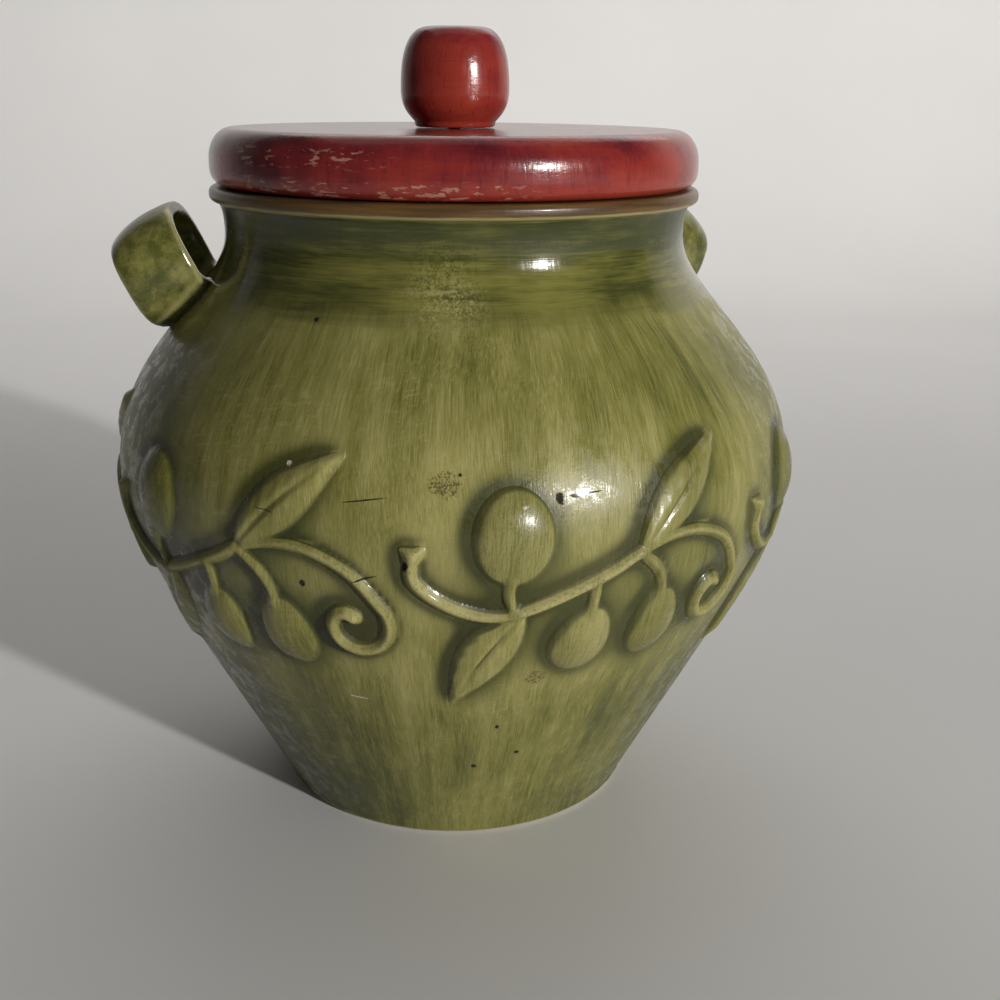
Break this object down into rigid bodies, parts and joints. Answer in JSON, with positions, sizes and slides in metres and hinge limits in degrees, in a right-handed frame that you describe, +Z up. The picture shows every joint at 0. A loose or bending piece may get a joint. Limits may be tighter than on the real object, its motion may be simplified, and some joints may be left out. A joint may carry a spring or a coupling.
{
  "type": "kitchen canister",
  "caption": "Bellied glazed kitchen canister with loop handles on its shoulder, raised olive sprays round its belly, and a lift-off wooden lid with a ball knob and a seal.",
  "frame": {"origin": "centre of the foot ring, on the surface that the jar stands on", "axes": "+Z up along the jar's axis, -Y towards the viewer of the picture, +X to that viewer's right"},
  "size_m": [0.2168, 0.2156, 0.2389],
  "materials": {
    "olive_glaze": "glossy olive glaze, brushed and speckled",
    "red_stained_wood": "glossy red stain, chipped at the edges",
    "seal_silicone": "satin",
    "screw_steel": "zinc plated"
  },
  "bodies": {
    "jar": {"jar_body": "olive_glaze", "handle_left": "olive_glaze", "handle_right": "olive_glaze", "olive_spray_1": "olive_glaze", "olive_spray_2": "olive_glaze", "olive_spray_3": "olive_glaze", "olive_spray_4": "olive_glaze", "olive_spray_5": "olive_glaze", "olive_spray_6": "olive_glaze"},
    "seal": {"seal_ring": "seal_silicone"},
    "lid": {"lid_board": "red_stained_wood", "lid_plug": "red_stained_wood", "knob": "red_stained_wood", "knob_screw": "screw_steel"}
  },
  "joints": [
    {"name": "lid_lift", "type": "slide", "parent": "jar", "child": "seal", "axis": [0, 0, 1], "range_m": [0, 0.1]},
    {"name": "lid_turn", "type": "hinge", "parent": "seal", "child": "lid", "pos_m": [0, 0, 0], "axis": [0, 0, 1], "continuous": true}
  ]
}
